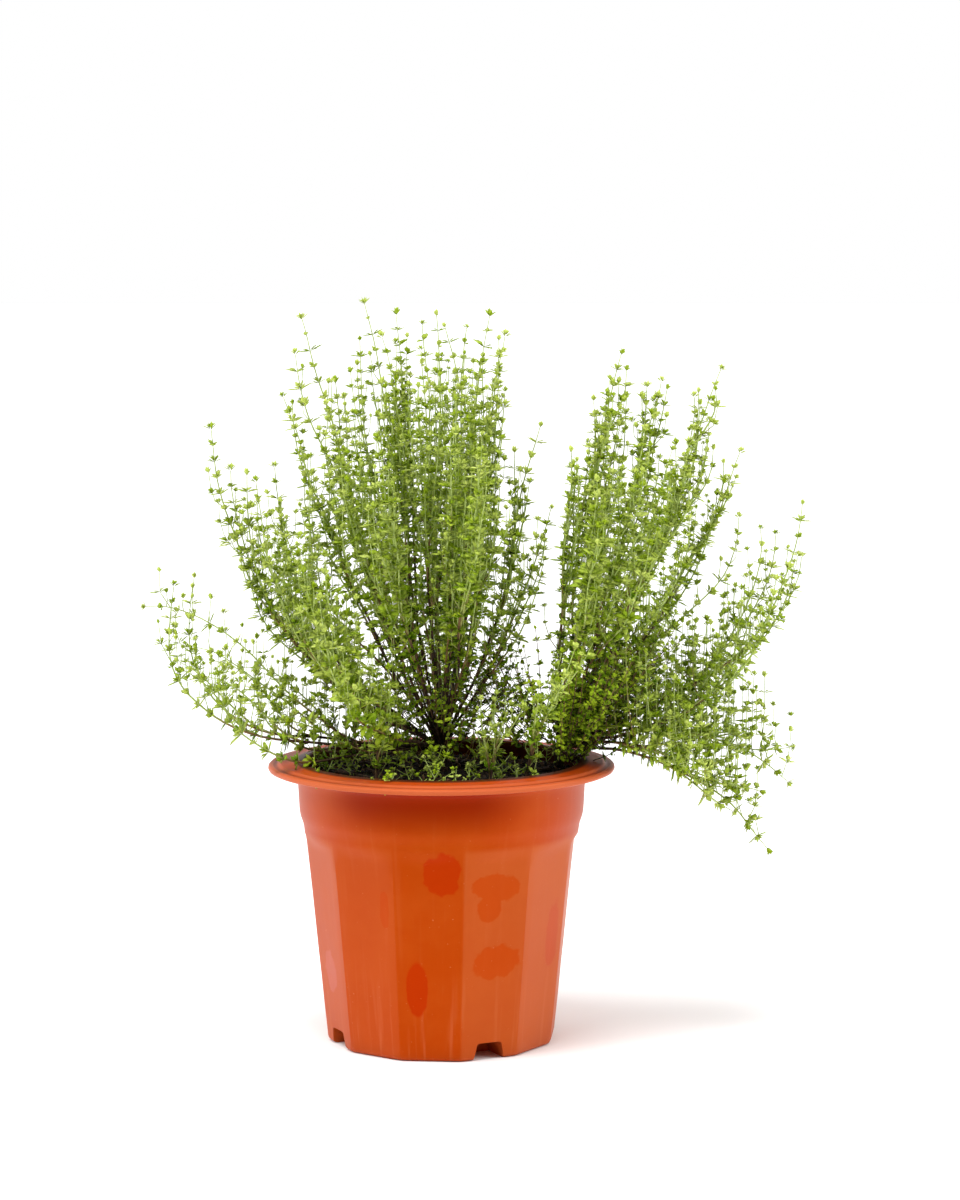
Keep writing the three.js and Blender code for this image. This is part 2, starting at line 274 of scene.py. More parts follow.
def drain_tool(name):
    """Four upright round bars, one through the roof of each recess."""
    shape = bmesh.new()
    angles = [2 * math.pi * n / DRAIN_SIDES for n in range(DRAIN_SIDES)]
    for turn in RECESS_TURNS:
        centre = Vector((math.sin(turn), -math.cos(turn), 0)) * DRAIN_FROM_AXIS
        ends = []
        for height in (DRAIN_LOW, DRAIN_TOP):
            middle = centre + Vector((0, 0, height))
            spots = [middle + Vector((math.cos(a), math.sin(a), 0)) * DRAIN_RADIUS for a in angles]
            ends.append([shape.verts.new(spot * pot_scale) for spot in spots])
        add_bar(shape, ends)
    return finished_solid(name, shape)


def plain_copy(source, name):
    """The evaluated shape of an object as a plain mesh object with no modifiers."""
    bpy.context.view_layer.update()
    graph = bpy.context.evaluated_depsgraph_get()
    shown = source.evaluated_get(graph)
    mesh = bpy.data.meshes.new_from_object(shown, preserve_all_data_layers=True, depsgraph=graph)
    mesh.name = name
    while mesh.materials and mesh.materials[0] is None:
        slots = [0] * len(mesh.polygons)
        mesh.polygons.foreach_get("material_index", slots)
        mesh.materials.pop(index=0)
        mesh.polygons.foreach_set("material_index", [max(0, slot - 1) for slot in slots])
    return link_object(name, mesh)


def remove(*objects):
    for thing in objects:
        bpy.data.objects.remove(thing)


def cut(body, tool, name):
    """The body with the tool's shape taken out of it."""
    knife = body.modifiers.new("cut", "BOOLEAN")
    knife.operation = "DIFFERENCE"
    knife.solver = "EXACT"
    knife.object = tool
    made = plain_copy(body, name)
    remove(body, tool)
    return made


shell = cut(turned_solid("pot_block", POT_OUTSIDE), recess_tool("recesses", 0), "pot_block_cut")
hollow = cut(turned_solid("pot_room", POT_INSIDE), recess_tool("recess_walls", WALL), "pot_room_cut")
shell = cut(shell, hollow, "pot_shell")
pot = cut(shell, drain_tool("drains"), "nursery_pot")
pot.data.shade_smooth()
pot.data.set_sharp_from_angle(angle=math.radians(38))


def on_corner(place):
    """Whether a point of the pot's wall lies on the corner between two flat facets."""
    step = 2 * math.pi / FACETS
    turn = math.atan2(place.x, -place.y) - FIRST_CORNER + step / 2
    return abs(turn % step - step / 2) < math.radians(0.3) and place.z < PANEL_TOP[0] * MM


for edge in pot.data.edges:
    one, other = (pot.data.vertices[k].co for k in edge.vertices)
    if on_corner(one) and on_corner(other) and abs(one.z - other.z) > 1.5 * MM:
        edge.use_edge_sharp = True


class Finish:
    """A material being mixed: one shader, what is the same all over it, and the patterns wired to it."""

    def __init__(self, name, **values):
        self.material = bpy.data.materials.new(name)
        self.material.use_nodes = True
        self.tree = self.material.node_tree
        self.shader = self.tree.nodes["Principled BSDF"]
        self.place = self.node("ShaderNodeTexCoord").outputs["Object"]
        for key, value in values.items():
            self.shader.inputs[key.replace("_", " ")].default_value = value

    def node(self, kind, inputs=None, **settings):
        return add_node(self.tree, kind, inputs, **settings)

    def maths(self, operation, *values):
        return self.node("ShaderNodeMath", dict(enumerate(values)), operation=operation).outputs[0]

    def carried(self, name):
        """A value that the mesh carries at each point."""
        return self.node("ShaderNodeAttribute", attribute_name=name).outputs["Fac"]

    def length(self, vector):
        return self.node("ShaderNodeVectorMath", {0: vector}, operation="LENGTH").outputs["Value"]

    def noise(self, vector, scale, detail, roughness=0.5):
        look = {"Vector": vector, "Scale": scale, "Detail": detail, "Roughness": roughness}
        return self.node("ShaderNodeTexNoise", look).outputs[0]

    def grain(self, vector, scales, detail, roughness=0.5):
        """Noise drawn out along the axis that has the smallest scale."""
        drawn = self.node("ShaderNodeMapping", {"Vector": vector, "Scale": scales}).outputs[0]
        return self.noise(drawn, 1.0, detail, roughness)

    def spread(self, value, low, high, bottom=0.0, top=1.0):
        """A value spread smoothly from bottom to top as it goes from low to high."""
        ends = {"Value": value, "From Min": low, "From Max": high, "To Min": bottom, "To Max": top}
        return self.node("ShaderNodeMapRange", ends, interpolation_type="SMOOTHSTEP").outputs["Result"]

    def both(self, mask, other):
        """One mask held back by another, or by a share."""
        return self.maths("MULTIPLY", mask, other)

    def strongest(self, masks):
        whole = masks[0]
        for mask in masks[1:]:
            whole = self.maths("MAXIMUM", whole, mask)
        return whole

    def layered(self, colour, *layers):
        """A colour with others laid over it, each as far as its mask goes."""
        for mask, over in layers:
            under, top = (c if isinstance(c, bpy.types.NodeSocket) else (*c, 1) for c in (colour, over))
            colour = self.node("ShaderNodeMix", {0: mask, 6: under, 7: top}, data_type="RGBA").outputs[2]
        return colour

    def coat(self, colour, relief, strength, depth, roughness=None):
        """Wires the colour, the fine relief and a roughness that varies to the shader."""
        self.tree.links.new(colour, self.shader.inputs["Base Color"])
        if roughness is not None:
            self.tree.links.new(roughness, self.shader.inputs["Roughness"])
        bump = self.node("ShaderNodeBump", {"Height": relief, "Strength": strength, "Distance": depth})
        self.tree.links.new(bump.outputs[0], self.shader.inputs["Normal"])


WALL_RADIUS = 0.067  # the wall's mean radius, which turns an angle into a length along the wall
plastic = Finish("pot_plastic", Specular_IOR_Level=0.42, Specular_Tint=(1.0, 0.30, 0.02, 1))
parts = plastic.node("ShaderNodeSeparateXYZ", {0: plastic.place}).outputs
height = parts["Z"]
turn = plastic.maths("ARCTAN2", parts["X"], plastic.maths("MULTIPLY", parts["Y"], -1.0))
girth = plastic.maths("MULTIPLY", turn, WALL_RADIUS)
skin = plastic.node("ShaderNodeCombineXYZ", {"X": girth, "Z": height}).outputs[0]
flat_place = plastic.node("ShaderNodeCombineXYZ", {"X": parts["X"], "Y": parts["Y"]}).outputs[0]
distance = plastic.length(flat_place)
ragged = plastic.noise(skin, 130, 3.0)


def stain(angle, height, half_width, half_height, raggedness=0.55):
    """A mask that is 1 inside one ragged water mark on the wall and 0 outside it."""
    spot = {
        "Vector": skin,
        "Location": (math.radians(angle) * WALL_RADIUS, 0, height * MM),
        "Scale": (half_width * MM, 1, half_height * MM),
    }
    away = plastic.length(plastic.node("ShaderNodeMapping", spot, vector_type="TEXTURE").outputs[0])
    rough_edge = plastic.maths("MULTIPLY_ADD", ragged, raggedness, -raggedness / 2)
    return plastic.spread(plastic.maths("ADD", away, rough_edge), 0.82, 0.98, 1.0, 0.0)


# Water marks: angle round the wall, height, half width, half height in millimetres, and raggedness.
WET_MARKS = [(1, 98, 11, 11.5, 1.0), (-10.8, 38, 6.5, 16, 0.35), (150, 60, 9, 14), (-120, 88, 8, 12)]
DAMP_MARKS = [
    (25, 90, 15, 8, 1.1), (22, 80, 8, 8, 0.8), (26, 51, 16, 9.5, 0.9), (-25, 79, 3, 11, 0.8),
    (62, 60, 6, 20, 0.9), (-66, 40, 8, 12, 0.9), (110, 86, 14, 9, 1.0), (200, 50, 16, 10, 1.0),
]
wet = plastic.strongest([stain(*mark) for mark in WET_MARKS])
damp = plastic.strongest([stain(*mark) for mark in DAMP_MARKS])
marked = plastic.strongest([wet, damp])

streaks = plastic.grain(skin, (260, 1, 17), 4.0)
clouds = plastic.noise(skin, 28, 5.0, 0.6)
speck = plastic.noise(plastic.place, 700, 2.0)
low_wall = plastic.spread(height, 0.0, 0.06, 1.0, 0.25)
chalk = plastic.both(plastic.spread(streaks, 0.52, 0.72), low_wall)

# Painted sheen: the side facets are painted paler, standing in for the side lights' reflection. Each
# painted sheen starts at a corner and covers what lies beyond it.
PAINTED_SHEEN_STARTS = [(9, 11, 0.30), (39, 41, 0.42), (-19, -21, 0.10), (-49, -51, 0.22), (-79, -81, 0.42)]
painted_sheens = [plastic.spread(turn, math.radians(a), math.radians(b), 0.0, most) for a, b, most in PAINTED_SHEEN_STARTS]
painted_side_sheen = plastic.both(plastic.strongest(painted_sheens), plastic.spread(height, 0.112, 0.108))
painted_side_sheen = plastic.both(painted_side_sheen, plastic.maths("MULTIPLY_ADD", marked, -0.85, 1.0))

# Painted light on the collar and rim: a painted shadow darkens the collar's front under the rim, painted
# highlights run along the rim's bead and ridge, and painted shade darkens the groove between them, the
# inner lip and the bare wall over the mix.
# painted shadow: the collar's front under the rim, centred a little left of the front, is darkened as if the
# overhanging rim shaded it
off_centre = plastic.maths("ABSOLUTE", plastic.maths("ADD", turn, math.radians(8)))
painted_rim_shadow = plastic.both(plastic.spread(height, 0.112, 0.136), plastic.spread(off_centre, 0.90, 0.35))
painted_rim_shadow = plastic.both(painted_rim_shadow, plastic.spread(height, 0.1414, 0.1410))
# painted highlights: lighter rings along the rim's bead and ridge stand in for light catching their edges
painted_bead_highlight = plastic.spread(distance, 0.0888, 0.0896, 0.0, 0.45)
painted_ridge_highlight = plastic.spread(distance, 0.0832, 0.0842, 0.0, 0.3)
# painted shade: a dark ring in the groove between the bead and the ridge
painted_groove_shade = plastic.both(plastic.spread(distance, 0.0849, 0.0856), plastic.spread(distance, 0.0877, 0.0870))
# painted shade: the bare inner wall over the mix and the inner lip are painted nearly black, as if shaded by
# the rim and the foliage
painted_inner_wall_shade = plastic.both(plastic.spread(distance, 0.0738, 0.0733), plastic.spread(height, 0.12, 0.125))
painted_inner_lip_shade = plastic.both(plastic.spread(distance, 0.0775, 0.0750), plastic.spread(height, 0.1435, 0.144))
colour = plastic.layered(
    (0.42, 0.042, 0.0008),
    (plastic.spread(clouds, 0.38, 0.64), (0.44, 0.052, 0.003)),
    (plastic.both(chalk, 0.4), (0.54, 0.125, 0.045)),
    (plastic.both(damp, 0.6), (0.45, 0.040, 0.0005)),
    (wet, (0.42, 0.020, 0.0)),
    (plastic.spread(speck, 0.72, 0.8, 0.0, 0.5), (0.62, 0.22, 0.11)),
    # painted sheen on the side facets
    (painted_side_sheen, (0.50, 0.125, 0.036)),
    # painted shadow under the rim
    (painted_rim_shadow, (0.25, 0.006, 0.0)),
    # painted highlights on the bead and ridge
    (plastic.strongest([painted_bead_highlight, painted_ridge_highlight]), (0.60, 0.17, 0.08)),
    # painted shade in the groove
    (plastic.both(painted_groove_shade, 0.7), (0.20, 0.018, 0.001)),
    # painted shade inside the rim
    (plastic.strongest([painted_inner_wall_shade, painted_inner_lip_shade]), (0.055, 0.008, 0.002)),
)
dullness = plastic.maths("MULTIPLY_ADD", marked, -0.16, 0.40)
roughness = plastic.maths("MULTIPLY_ADD", clouds, 0.14, dullness)
relief = plastic.maths("MULTIPLY_ADD", speck, 0.12, plastic.noise(skin, 55, 2.0))
plastic.coat(colour, relief, 0.25, 0.0006, roughness)
pot.data.materials.clear()
pot.data.materials.append(plastic.material)

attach(pot, "root")
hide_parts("pot")


# The potting mix. Dark peat and composted bark fill the pot to just under its lip. Its surface is an
# uneven crust that falls a little to the wall and mounds round the two trunks.
_, soil_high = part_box("soil")
mix = Finish("potting_mix", Roughness=0.95, Specular_IOR_Level=0.25)
lumps = mix.noise(mix.place, 160, 6.0, 0.7)
patches = mix.noise(mix.place, 42, 3.0)
colour = mix.layered(
    (0.0045, 0.0035, 0.0028),
    (mix.spread(lumps, 0.35, 0.7), (0.034, 0.020, 0.011)),
    (mix.spread(patches, 0.55, 0.75, 0.0, 0.6), (0.050, 0.024, 0.012)),
)
mix.coat(colour, lumps, 0.9, 0.0015)
soil = frame["nodes"]["soil"]
soil.data.materials.clear()
soil.data.materials.append(mix.material)

trunks = {}
for plant in ("left", "right"):
    corners = [v.co for v in frame["nodes"][plant + "_woody_crown"].data.vertices]
    foot = min(v.z for v in corners)
    lowest = [v for v in corners if v.z < foot + 0.0005]
    trunks[plant] = Vector((sum(v.x for v in lowest), sum(v.y for v in lowest), 0)) / len(lowest)

MIX_RADIUS = 72.3 * MM
MIX_FALL = 2.5 * MM
MIX_COVER = 0.4 * MM  # how far the crust stands over the mix's plain top
LUMP_RELIEF, CRUMB_RELIEF = 1.6 * MM, 0.7 * MM
MOUND_HEIGHT, MOUND_RADIUS = 3.5 * MM, 11 * MM
RINGS, SPOKES = 60, 200


def mix_height(x, y):
    """The height of the crust's surface: an even fall to the edge, lumps, and a mound at each trunk."""
    reach = math.hypot(x, y) / MIX_RADIUS
    height = soil_high.z - MIX_FALL * reach + MIX_COVER
    spot = Vector((x, y, 0.3))
    height += LUMP_RELIEF * (noise.fractal(spot * 55, 0.8, 2.1, 4) + 0.35) * (1.15 - reach**6)
    height += CRUMB_RELIEF * noise.fractal(spot * 260, 0.7, 2.0, 3)
    for trunk in trunks.values():
        height += MOUND_HEIGHT * math.exp(-(((x - trunk.x) ** 2 + (y - trunk.y) ** 2) / MOUND_RADIUS**2))
    return height


shape = bmesh.new()
angles = [2 * math.pi * k / SPOKES for k in range(SPOKES)]
rings = [[shape.verts.new((0, 0, mix_height(0, 0)))]]
for r in range(1, RINGS + 1):
    reach = MIX_RADIUS * (r / RINGS) ** 0.85
    spots = [(reach * math.sin(a), reach * math.cos(a)) for a in angles]
    rings.append([shape.verts.new((x, y, mix_height(x, y))) for x, y in spots])
under = [shape.verts.new((v.co.x, v.co.y, soil_high.z - MIX_FALL - 2 * MM)) for v in rings[-1]]
skin_rings(shape, [*rings, under])
shape.faces.new(under)
crust = finished_solid("mix_crust", shape)
crust.data.materials.append(mix.material)
crust.data.shade_smooth()
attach(crust, "root")


# The litter. Crumbs of peat, chips of bark and dry straws lie loose on the crust, dropped there by
# watering and by the plants themselves.
def collect(name, objects):
    """The objects moved into one collection that a scatter can pick from."""
    box = bpy.data.collections.new(name)
    scene.collection.children.link(box)
    for thing in objects:
        box.objects.link(thing)
        scene.collection.objects.unlink(thing)
    return box


def new_rule(name, inputs):
    """An empty Geometry Nodes tree with named inputs and one geometry that comes out of it."""
    rule = bpy.data.node_groups.new(name, "GeometryNodeTree")
    for label, kind in inputs.items():
        rule.interface.new_socket(label, in_out="INPUT", socket_type="NodeSocket" + kind)
    rule.interface.new_socket("Geometry", in_out="OUTPUT", socket_type="NodeSocketGeometry")
    return rule, add_node(rule, "NodeGroupInput").outputs


def step(rule, kind, inputs=None, **settings):
    """What first comes out of a new node in a rule."""
    return add_node(rule, kind, inputs, **settings).outputs[0]


def stored(rule, geometry, name, value, domain="POINT"):
    """The geometry with a value written on each of its points or copies."""
    given = {"Geometry": geometry, "Name": name, "Value": value}
    return step(rule, "GeometryNodeStoreNamedAttribute", given, domain=domain)


def carried_value(rule, name):
    return step(rule, "GeometryNodeInputNamedAttribute", {"Name": name})


def random_value(rule, low, high, seed):
    return add_node(rule, "FunctionNodeRandomValue", {2: low, 3: high, "Seed": seed}).outputs[1]


def scatter_rule():
    """Bits picked at random from a collection and strewn over the upper side of a surface."""
    rule, given = new_rule(
        "strewn_bits",
        {
            "Surface": "Geometry", "Bits": "Collection", "Finish": "Material", "Seed": "Int",
            "Bits per square metre": "Float", "Smallest": "Float", "Largest": "Float", "Tumble": "Float",
            "Lift": "Float",
        },
    )
    facing = add_node(rule, "ShaderNodeSeparateXYZ", {0: step(rule, "GeometryNodeInputNormal")}).outputs["Z"]
    upper = step(rule, "FunctionNodeCompare", {0: facing, 1: 0.3}, operation="GREATER_THAN")
    sown = {"Mesh": given["Surface"], "Selection": upper, "Seed": given["Seed"]}
    sown["Density"] = given["Bits per square metre"]
    points = step(rule, "GeometryNodeDistributePointsOnFaces", sown)
    shaded = stored(rule, points, "shade", random_value(rule, 0.0, 1.0, 11))
    most = {0: (-1, -1, -3.14), 1: (1, 1, 3.14), "Seed": 12}
    lean = step(rule, "FunctionNodeRandomValue", most, data_type="FLOAT_VECTOR")
    tumble = step(rule, "ShaderNodeCombineXYZ", {"X": given["Tumble"], "Y": given["Tumble"], "Z": 1.0})
    turned = step(rule, "ShaderNodeVectorMath", {0: lean, 1: tumble}, operation="MULTIPLY")
    copies = {
        "Points": shaded,
        "Instance": step(rule, "GeometryNodeCollectionInfo", {0: given["Bits"], 1: True, 2: True}),
        "Pick Instance": True,
        "Rotation": step(rule, "FunctionNodeEulerToRotation", {0: turned}),
        "Scale": random_value(rule, given["Smallest"], given["Largest"], 13),
    }
    placed = step(rule, "GeometryNodeInstanceOnPoints", copies)
    rise = step(rule, "ShaderNodeCombineXYZ", {"Z": given["Lift"]})
    moved = {"Instances": placed, "Translation": rise, "Local Space": False}
    raised = step(rule, "GeometryNodeTranslateInstances", moved)
    real = step(rule, "GeometryNodeRealizeInstances", {0: raised})
    done = step(rule, "GeometryNodeSetMaterial", {"Geometry": real, "Material": given["Finish"]})
    add_node(rule, "NodeGroupOutput", {"Geometry": done})
    return rule


def run_rule(source, rule, name, **values):
    """A plain mesh object of what a Geometry Nodes rule makes from a source object."""
    worker = source.modifiers.new("rule", "NODES")
    worker.node_group = rule
    sockets = [s for s in rule.interface.items_tree if s.item_type == "SOCKET" and s.in_out == "INPUT"]
    ids = {s.name: s.identifier for s in sockets}
    for key, value in values.items():
        worker[ids[key.replace("_", " ")]] = value
    made = plain_copy(source, name)
    source.modifiers.remove(worker)
    return made


def small_solid(name, points, faces, smooth=False):
    """A small closed mesh from its points in millimetres."""
    shape = bmesh.new()
    corners = [shape.verts.new(point * MM) for point in points]
    for face in faces:
        shape.faces.new([corners[k] for k in face]).smooth = smooth
    return finished_solid(name, shape)


def crumb(name, seed, size):
    """An irregular lump of peat."""
    shape = bmesh.new()
    bmesh.ops.create_icosphere(shape, subdivisions=1, radius=1)
    chance = random.Random(seed)
    stretch = Vector(size) * MM
    for vert in shape.verts:
        vert.co = Vector(a * b * chance.uniform(0.72, 1.25) for a, b in zip(vert.co, stretch))
    return finished_solid(name, shape)


def straw(name, seed, length, thick):
    """A dry, slightly bent straw or twig of four flat sides."""
    chance = random.Random(seed)
    points, faces = [], []
    steps = 4
    for s in range(steps + 1):
        t = s / steps - 0.5
        bend = Vector((t * length, chance.uniform(-0.6, 0.6), chance.uniform(0.0, 0.6)))
        half = thick / 2 * (1.1 - abs(t) * 0.7)
        points += [bend + Vector((0, half * a, half * b)) for a, b in ((1, 1), (-1, 1), (-1, -1), (1, -1))]
    for s in range(steps):
        for k in range(4):
            n = (k + 1) % 4
            faces.append((4 * s + k, 4 * s + n, 4 * s + 4 + n, 4 * s + 4 + k))
    faces += [(3, 2, 1, 0), (4 * steps, 4 * steps + 1, 4 * steps + 2, 4 * steps + 3)]
    return small_solid(name, points, faces)


def without_strays(litter):
    """Takes away every bit that reaches past the pot's wall."""
    shape = bmesh.new()
    shape.from_mesh(litter.data)
    stray = set()
    reach = [v for v in shape.verts if math.hypot(v.co.x, v.co.y) > MIX_RADIUS - 0.3 * MM]
    while reach:
        at = reach.pop()
        if at not in stray:
            stray.add(at)
            reach += [edge.other_vert(at) for edge in at.link_edges]
    bmesh.ops.delete(shape, geom=list(stray), context="VERTS")
    shape.to_mesh(litter.data)
    shape.free()


litter = Finish("bark_litter", Roughness=0.9, Specular_IOR_Level=0.3)
shade = litter.carried("shade")
fibres = litter.noise(litter.place, 900, 3.0)
colour = litter.layered(
    (0.008, 0.006, 0.005),
    (litter.spread(shade, 0.35, 1.0), (0.10, 0.05, 0.024)),
    (litter.spread(shade, 0.9, 1.0), (0.26, 0.15, 0.07)),
    (litter.spread(fibres, 0.4, 0.7, 0.0, 0.6), (0.012, 0.008, 0.006)),
)
litter.coat(colour, fibres, 0.5, 0.0004)

strewn_bits = scatter_rule()
crumb_kinds = (("crumb_a", 1, (1.2, 0.9, 0.8)), ("crumb_b", 2, (0.8, 0.8, 0.6)), ("chip", 3, (2.0, 1.1, 0.4)))
straw_kinds = (("straw_a", 4, 14, 0.7), ("straw_b", 5, 22, 0.9), ("straw_c", 6, 9, 0.6))
crumbs = collect("crumbs", [crumb(*kind) for kind in crumb_kinds])
straws = collect("straws", [straw(*kind) for kind in straw_kinds])
peat_crumbs = run_rule(
    crust, strewn_bits, "peat_crumbs", Bits=crumbs, Finish=litter.material, Bits_per_square_metre=150000.0,
    Smallest=0.5, Largest=1.5, Tumble=1.6, Lift=0.0001, Seed=3,
)
dry_straws = run_rule(
    crust, strewn_bits, "dry_straws", Bits=straws, Finish=litter.material, Bits_per_square_metre=6500.0,
    Smallest=0.6, Largest=1.1, Tumble=0.12, Lift=0.0009, Seed=8,
)
for strewn in (peat_crumbs, dry_straws):
    without_strays(strewn)
    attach(strewn, "root")


# The woody crowns. Each plant stands on one short brown trunk with flaking bark, which divides just
# over the mix into a thin branch for each sprig. Every branch ends where its sprig begins.
bark = Finish("thyme_bark", Roughness=0.9, Specular_IOR_Level=0.3)
flakes = bark.grain(bark.place, (900, 900, 180), 5.0, 0.65)
colour = bark.layered(
    (0.010, 0.006, 0.004),
    (bark.spread(flakes, 0.35, 0.68), (0.085, 0.045, 0.026)),
    (bark.spread(flakes, 0.66, 0.8, 0.0, 0.7), (0.20, 0.13, 0.08)),
)
bark.coat(colour, flakes, 0.8, 0.0006)


def add_tube(shape, points, radii, sides, knobs=0.0):
    """A closed round bar through points, with its own radius at each, and knobs as a share of it."""
    rings = []
    side = (points[1] - points[0]).orthogonal().normalized()
    for n, (centre, radius) in enumerate(zip(points, radii)):
        along = (points[min(n + 1, len(points) - 1)] - points[max(n - 1, 0)]).normalized()
        side = (side - along * side.dot(along)).normalized()
        across = along.cross(side)
        ring = []
        for k in range(sides):
            angle = 2 * math.pi * k / sides
            out = side * math.cos(angle) + across * math.sin(angle)
            swell = 1 + knobs * noise.noise((centre + out * radius) * 420)
            ring.append(shape.verts.new(centre + out * radius * swell))
        rings.append(ring)
    skin_rings(shape, rings)
    shape.faces.new(list(reversed(rings[0])))
    shape.faces.new(rings[-1])


def barked(name, shape):
    """A woody piece from a mesh that is being built, smooth and in its bark."""
    made = finished_solid(name, shape)
    made.data.materials.append(bark.material)
    made.data.shade_smooth()
    return made


def bezier(a, b, c, d, count):
    """Points along a cubic curve from a to d."""
    points = []
    for k in range(count + 1):
        t = k / count
        s = 1 - t
        points.append(a * s**3 + b * (3 * s * s * t) + c * (3 * s * t * t) + d * t**3)
    return points


def mean(points):
    return sum(points, Vector()) / len(points)


FORK_RISE = 13 * MM
TRUNK_RADII = [3.1 * MM, 2.7 * MM, 2.4 * MM, 2.3 * MM, 2.1 * MM]
BRANCH_STEPS = 7
forks = {plant: Vector((at.x, at.y, soil_high.z + FORK_RISE)) for plant, at in trunks.items()}
sprig_ends = {}
for name, node in frame["nodes"].items():
    if "sprig" not in name:
        continue
    corners = [v.co.copy() for v in node.data.vertices]
    plant = name.split("_")[0]
    root = forks.get(plant)
    if root is None:
        root = min(corners, key=lambda v: v.z)
    nearest = min((v - root).length for v in corners)
    farthest = max(corners, key=lambda v: (v - root).length)
    base = mean([v for v in corners if (v - root).length < nearest + 0.0009])
    tip = mean([v for v in corners if (v - farthest).length < 0.0024])
    sprig_ends[name] = (base, tip)

for plant, fork in forks.items():
    chance = random.Random(plant)
    shape = bmesh.new()
    low = Vector((trunks[plant].x, trunks[plant].y, soil_high.z - 4 * MM))
    middle = low.lerp(fork, 0.55) + Vector((0.8, -0.5, 0)) * MM
    add_tube(shape, [low, low.lerp(middle, 0.5), middle, middle.lerp(fork, 0.6), fork], TRUNK_RADII, 12, 0.35)
    for name, (base, tip) in sprig_ends.items():
        if not name.startswith(plant):
            continue
        start = low.lerp(fork, chance.uniform(0.62, 1.0))
        heading = (base - fork).normalized()
        leaving, arriving = start.lerp(fork, 0.7) + heading * 4 * MM, base - heading * 9 * MM
        points = bezier(start, leaving, arriving, base + heading * 0.6 * MM, BRANCH_STEPS)
        thick = chance.uniform(0.0009, 0.0013)
        radii = [thick * (1 - 0.42 * k / BRANCH_STEPS) for k in range(BRANCH_STEPS + 1)]
        add_tube(shape, points, radii, 7, 0.3)
    crown = barked(plant + "_crown_wood", shape)
    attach(crown, "root")
    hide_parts(plant + "_woody_crown")


# The lying stems. Old stems that have lost their leaves, as thin as a match and barked, rest on the
# mix inside the rim.
OLD_STEM_STEPS = 14
OLD_STEM_RADIUS = 1.2 * MM
for number in (1, 2, 3):
    node = "lying_stem_" + str(number)
    corners = [v.co.copy() for v in frame["nodes"][node].data.vertices]
    start = min(corners, key=lambda v: v.x)
    line = max(corners, key=lambda v: v.x) - start
    heading = line.normalized()
    points = []
    for k in range(OLD_STEM_STEPS + 1):
        want = start + line * (k / OLD_STEM_STEPS)
        points.append(mean(sorted(corners, key=lambda v: abs((v - want).dot(heading)))[:5]))
    smooth = [mean(points[max(0, k - 2):k + 3]) for k in range(OLD_STEM_STEPS + 1)]
    aside = Vector((7, 0, 0))
    bent = [p + Vector((noise.noise(p * 90), noise.noise(p * 90 + aside), 0)) * 1.2 * MM for p in smooth]
    radii = [OLD_STEM_RADIUS * (1 - 0.35 * k / OLD_STEM_STEPS) for k in range(OLD_STEM_STEPS + 1)]
    shape = bmesh.new()
    add_tube(shape, bent, radii, 8, 0.4)
    old_stem = barked("old_stem_" + str(number), shape)
    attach(old_stem, "root")
    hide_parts(node)


# The sprigs. Thin stems, brown and woody at the base and pale green at the tip, carry pairs of small
# oval leaves, each pair a quarter turn from the last, with a tuft of young leaves in each axil and a
# bud at the end. Side shoots leave the stem all round and turn up to the light.
leaf = Finish("thyme_leaf", Roughness=0.5, Specular_IOR_Level=0.16, Specular_Tint=(0.55, 0.9, 0.12, 1))
shade = leaf.spread(leaf.carried("shade"), 0.0, 1.0)
youth = leaf.carried("youth")
mottle = leaf.noise(leaf.place, 420, 3.0)
# painted shade: leaves with the lowest youth, the crown shoots crowded round the trunks, get a deep dark
# green that stands in for the shade at the plants' base
painted_shade_green = leaf.layered((0.035, 0.080, 0.002), (shade, (0.14, 0.22, 0.006)))
old = leaf.layered((0.14, 0.28, 0.004), (shade, (0.52, 0.66, 0.03)))
young = leaf.layered((0.29, 0.41, 0.012), (shade, (0.60, 0.70, 0.16)))
colour = leaf.layered(
    painted_shade_green,
    (leaf.spread(youth, 0.05, 0.35), old),
    (leaf.spread(youth, 0.2, 0.95), young),
    (leaf.spread(mottle, 0.45, 0.7, 0.0, 0.35), (0.46, 0.58, 0.08)),
)
leaf.coat(colour, mottle, 0.3, 0.0003, leaf.spread(mottle, 0.3, 0.7, 0.38, 0.6))

stem = Finish("thyme_stem", Roughness=0.6, Specular_IOR_Level=0.35)
youth = stem.carried("youth")
fibre = stem.grain(stem.place, (1100, 1100, 220), 4.0)
fibrous = stem.spread(fibre, 0.35, 0.7)
colour = stem.layered(
    stem.layered((0.028, 0.014, 0.008), (fibrous, (0.13, 0.065, 0.038))),
    (stem.spread(youth, 0.12, 0.42), (0.24, 0.14, 0.05)),
    (stem.spread(youth, 0.38, 0.66), stem.layered((0.30, 0.40, 0.07), (fibrous, (0.52, 0.62, 0.20)))),
)
stem.coat(colour, fibre, 0.5, 0.0004)

UP = Vector((0, 0, 1))
MAIN_LEAF = [(0, 0), (0.3, 0.85), (0.68, 0.85), (1, 0), (0.68, -0.85), (0.3, -0.85)]
TUFT_LEAF = [(0, 0), (0.55, 1), (1, 0), (0.55, -1)]
MIDRIB = (0.45, 0)


def add_leaf(points, faces, foot, heading, face_up, length, width, outline):
    """A thin closed oval leaf with a sunken midrib, from its foot along its heading."""
    across = heading.cross(face_up).normalized()
    first, corners = len(points), len(outline)
    for n, (along, side) in enumerate([*outline, MIDRIB, MIDRIB]):
        rise = 0.1 * width * abs(side) - 0.16 * length * (along - 0.25) ** 2
        rise -= 0.1 * width if n == corners + 1 else 0
        points.append(foot + heading * (along * length) + across * (side * width / 2) + face_up * rise)
    for k in range(corners):
        n = (k + 1) % corners
        faces.append((first + corners, first + k, first + n))
        faces.append((first + corners + 1, first + n, first + k))


